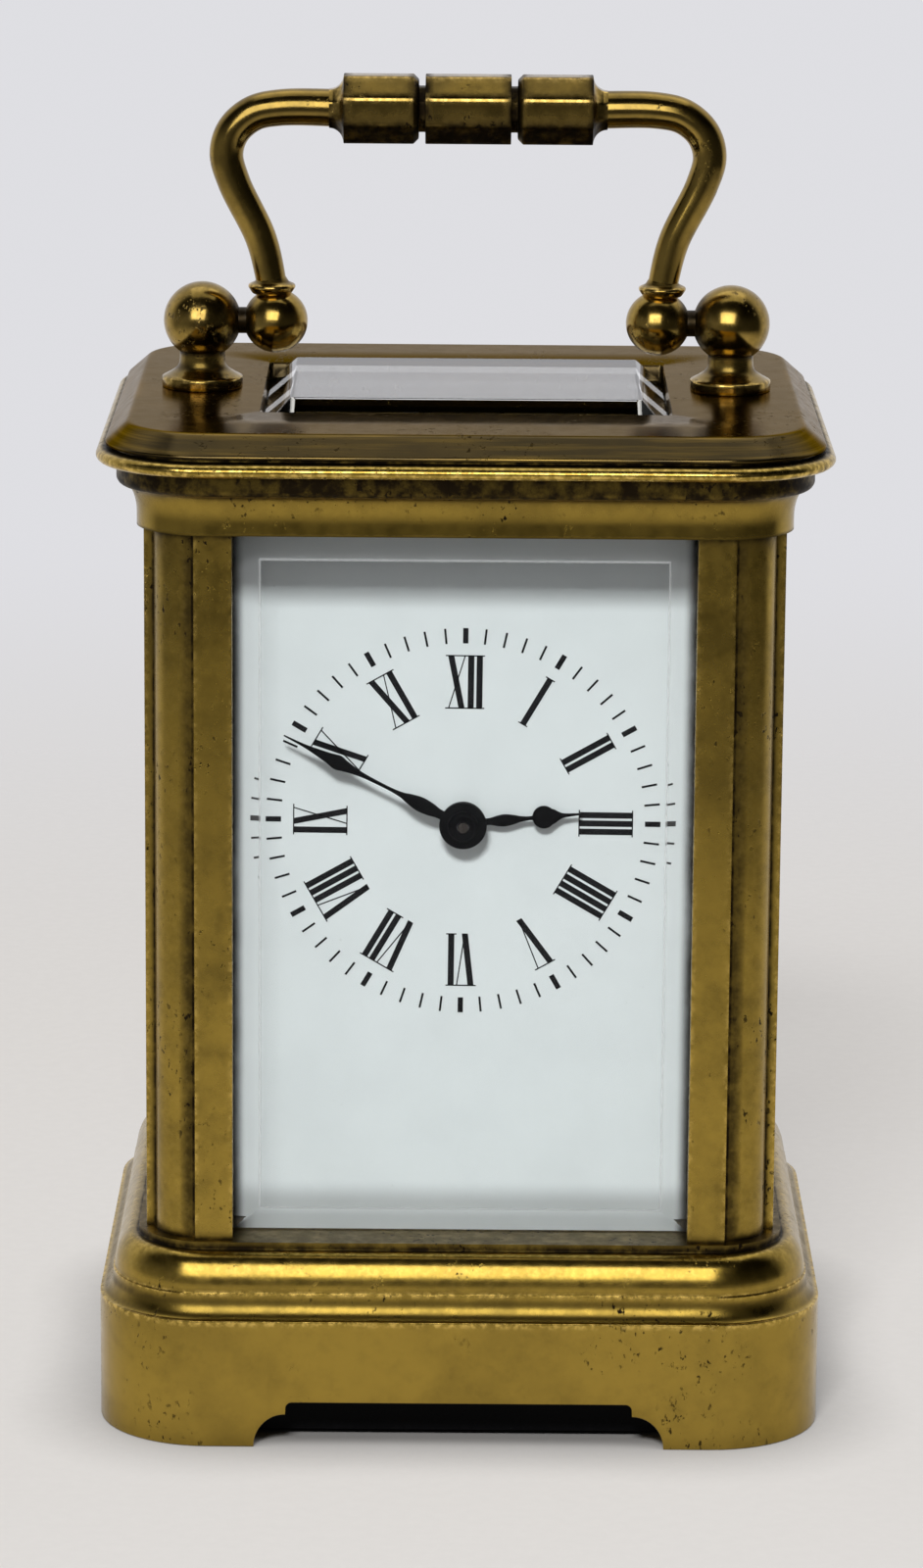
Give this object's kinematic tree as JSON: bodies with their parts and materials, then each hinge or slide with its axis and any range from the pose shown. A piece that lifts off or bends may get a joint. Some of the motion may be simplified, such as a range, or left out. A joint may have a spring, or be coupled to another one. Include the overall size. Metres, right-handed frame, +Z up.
{
  "type": "carriage clock",
  "caption": "Small brass carriage clock with bevelled glasses, white dial, swinging bail handle, rear door, geared hands and a spring-driven movement with a platform escapement.",
  "frame": {"origin": "middle of the surface that the clock stands on", "axes": "+Z up, +X to the right of someone who reads the dial, +Y from the dial to the rear door"},
  "size_m": [0.055, 0.048, 0.1011],
  "materials": {
    "brass": "aged polished brass",
    "cap_brass": "tarnished brass",
    "steel": "turned steel",
    "black_steel": "blackened steel",
    "enamel": "white enamel",
    "glass": "bevelled clear glass"
  },
  "bodies": {
    "case": {"base_plinth": "brass", "base_lining": "black_steel", "pillar_front_left": "brass", "base_screw_front_left": "steel", "pillar_front_right": "brass", "base_screw_front_right": "steel", "pillar_rear_left": "brass", "base_screw_rear_left": "steel", "pillar_rear_right": "brass", "base_screw_rear_right": "steel", "cornice": "brass", "top_cap": "cap_brass", "front_glass": "glass", "left_glass": "glass", "right_glass": "glass", "top_glass": "glass", "handle_post_left": "brass", "handle_pin_left": "steel", "handle_post_right": "brass", "handle_pin_right": "steel", "door_pin_bottom": "steel", "door_pin_top": "steel", "dial_plate": "enamel", "front_plate": "brass", "back_plate": "brass", "movement_pillar_low_left": "brass", "movement_pillar_low_right": "brass", "movement_pillar_high_left": "brass", "movement_pillar_high_right": "brass", "movement_screw_left": "steel", "movement_screw_right": "steel", "click_spring": "steel", "platform_plate": "brass", "balance_cock": "brass", "hairspring": "steel"},
    "handle": {"handle_bail": "brass"},
    "door": {"door_frame": "brass", "door_glass": "glass", "door_knob": "brass"},
    "minute_work": {"centre_arbor": "steel", "cannon_pinion": "steel", "minute_hand": "black_steel", "hand_collet": "black_steel"},
    "minute_wheel": {"minute_wheel": "brass"},
    "hour_work": {"hour_wheel": "brass", "hour_hand": "black_steel"},
    "barrel": {"barrel_drum": "brass", "barrel_cover": "brass", "mainspring": "steel"},
    "winding_arbor": {"barrel_arbor": "steel", "ratchet_wheel": "steel"},
    "click": {"click": "steel"},
    "intermediate": {"intermediate_wheel": "brass"},
    "centre": {"centre_wheel": "brass"},
    "third": {"third_wheel": "brass"},
    "contrate": {"contrate_wheel": "brass"},
    "escape": {"escape_wheel": "brass"},
    "lever": {"pallet_lever": "steel"},
    "balance": {"balance_wheel": "brass"}
  },
  "joints": [
    {"name": "handle_fold", "type": "hinge", "parent": "case", "child": "handle", "pos_m": [0, 0, 0.08225], "axis": [1, 0, 0], "range_deg": [-96, 96]},
    {"name": "door_swing", "type": "hinge", "parent": "case", "child": "door", "pos_m": [0.01688, 0.0186, 0.0423], "axis": [0, 0, 1], "range_deg": [-95, 0]},
    {"name": "hand_setting", "type": "hinge", "parent": "case", "child": "minute_work", "pos_m": [0, -0.01603, 0.0466], "axis": [0, 1, 0], "continuous": true},
    {"name": "minute_wheel_turn", "type": "hinge", "parent": "case", "child": "minute_wheel", "pos_m": [0.00346, 0, 0.0446], "axis": [0, 1, 0], "continuous": true},
    {"name": "hour_turn", "type": "hinge", "parent": "case", "child": "hour_work", "pos_m": [0, -0.01533, 0.0466], "axis": [0, 1, 0], "continuous": true},
    {"name": "contrate_turn", "type": "hinge", "parent": "case", "child": "contrate", "pos_m": [0, 0, 0.05301], "axis": [0, 1, 0], "continuous": true},
    {"name": "third_turn", "type": "hinge", "parent": "case", "child": "third", "pos_m": [-0.00499, 0, 0.05044], "axis": [0, 1, 0], "continuous": true},
    {"name": "centre_turn", "type": "hinge", "parent": "case", "child": "centre", "pos_m": [0, 0, 0.0466], "axis": [0, 1, 0], "continuous": true},
    {"name": "intermediate_turn", "type": "hinge", "parent": "case", "child": "intermediate", "pos_m": [0.0035, 0, 0.04054], "axis": [0, 1, 0], "continuous": true},
    {"name": "barrel_turn", "type": "hinge", "parent": "case", "child": "barrel", "pos_m": [0.00002, -0.0075, 0.02984], "axis": [0, 1, 0], "continuous": true},
    {"name": "escape_turn", "type": "hinge", "parent": "case", "child": "escape", "pos_m": [0, 0.00272, 0], "axis": [0, 0, 1], "continuous": true},
    {"name": "winding", "type": "hinge", "parent": "case", "child": "winding_arbor", "pos_m": [0.00002, 0, 0.02984], "axis": [0, 1, 0], "continuous": true},
    {"name": "click_lift", "type": "hinge", "parent": "case", "child": "click", "pos_m": [0.00181, 0, 0.0365], "axis": [0, 1, 0], "range_deg": [-10, 0]},
    {"name": "lever_rock", "type": "hinge", "parent": "case", "child": "lever", "pos_m": [-0.00364, 0.00062, 0], "axis": [0, 0, 1], "range_deg": [-5, 5]},
    {"name": "balance_swing", "type": "hinge", "parent": "case", "child": "balance", "pos_m": [-0.00675, -0.00249, 0], "axis": [0, 0, 1], "range_deg": [-220, 220]}
  ],
  "couplings": [
    {"joint": "minute_wheel_turn", "follows": "hand_setting", "ratio": -0.33333},
    {"joint": "hour_turn", "follows": "hand_setting", "ratio": 0.083333},
    {"joint": "third_turn", "follows": "contrate_turn", "ratio": -0.1},
    {"joint": "centre_turn", "follows": "contrate_turn", "ratio": 0.0125},
    {"joint": "intermediate_turn", "follows": "contrate_turn", "ratio": -0.0020833},
    {"joint": "barrel_turn", "follows": "contrate_turn", "ratio": 0.00026042},
    {"joint": "escape_turn", "follows": "contrate_turn", "ratio": -6}
  ]
}
